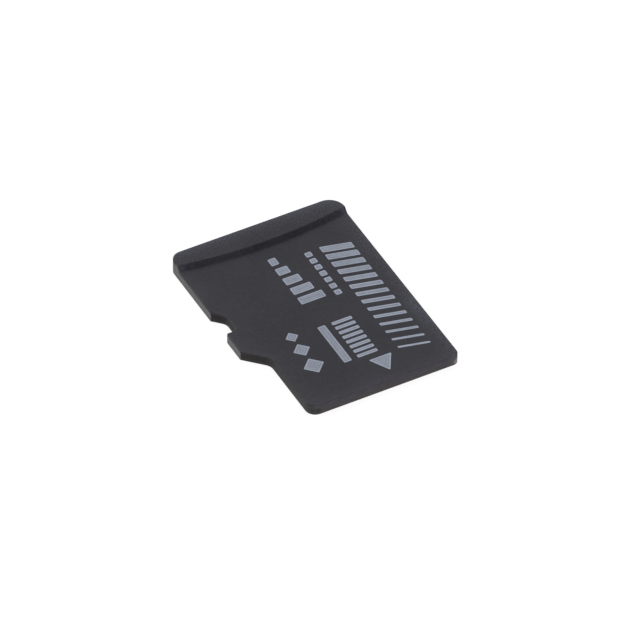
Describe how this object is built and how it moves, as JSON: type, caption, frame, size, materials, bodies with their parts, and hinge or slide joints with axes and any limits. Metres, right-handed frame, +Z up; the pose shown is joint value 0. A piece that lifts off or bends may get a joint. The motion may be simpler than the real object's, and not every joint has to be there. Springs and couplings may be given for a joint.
{
  "type": "micro memory card",
  "caption": "Thin black micro memory card with a moulded pull lip, a stepped and notched side and a row of gold contacts underneath.",
  "frame": {"origin": "middle of the bounding box on the underside, the contact side that the card lies on", "axes": "+Y towards the pull lip at the rear, -Y towards the contact end that goes into the socket first, -X towards the notched side, +Z up through the label side"},
  "size_m": [0.011, 0.015, 0.001],
  "materials": {
    "mould": "fine matt moulded epoxy with cut side walls",
    "laminate": "black solder mask, semi-matt, with a brownish cut edge",
    "contact_gold": "satin gold plating",
    "silicon": "ground silicon",
    "die_film": "adhesive film",
    "bond_wire": "drawn gold wire",
    "chip_ceramic": "ceramic with tinned ends",
    "chip_resistor": "glazed ceramic with tinned ends",
    "print_ink": "pale blue-grey printing ink"
  },
  "bodies": {
    "root": {"mould_body": "mould", "substrate": "laminate", "contact_data_2": "contact_gold", "contact_data_3": "contact_gold", "contact_command": "contact_gold", "contact_supply": "contact_gold", "contact_clock": "contact_gold", "contact_ground": "contact_gold", "contact_data_0": "contact_gold", "contact_data_1": "contact_gold", "memory_die": "silicon", "memory_die_film": "die_film", "controller_die": "silicon", "controller_die_film": "die_film", "memory_bond_wires": "bond_wire", "controller_bond_wires": "bond_wire", "capacitor_1": "chip_ceramic", "capacitor_2": "chip_ceramic", "capacitor_3": "chip_ceramic", "resistor_1": "chip_resistor", "resistor_2": "chip_resistor"}
  },
  "joints": []
}
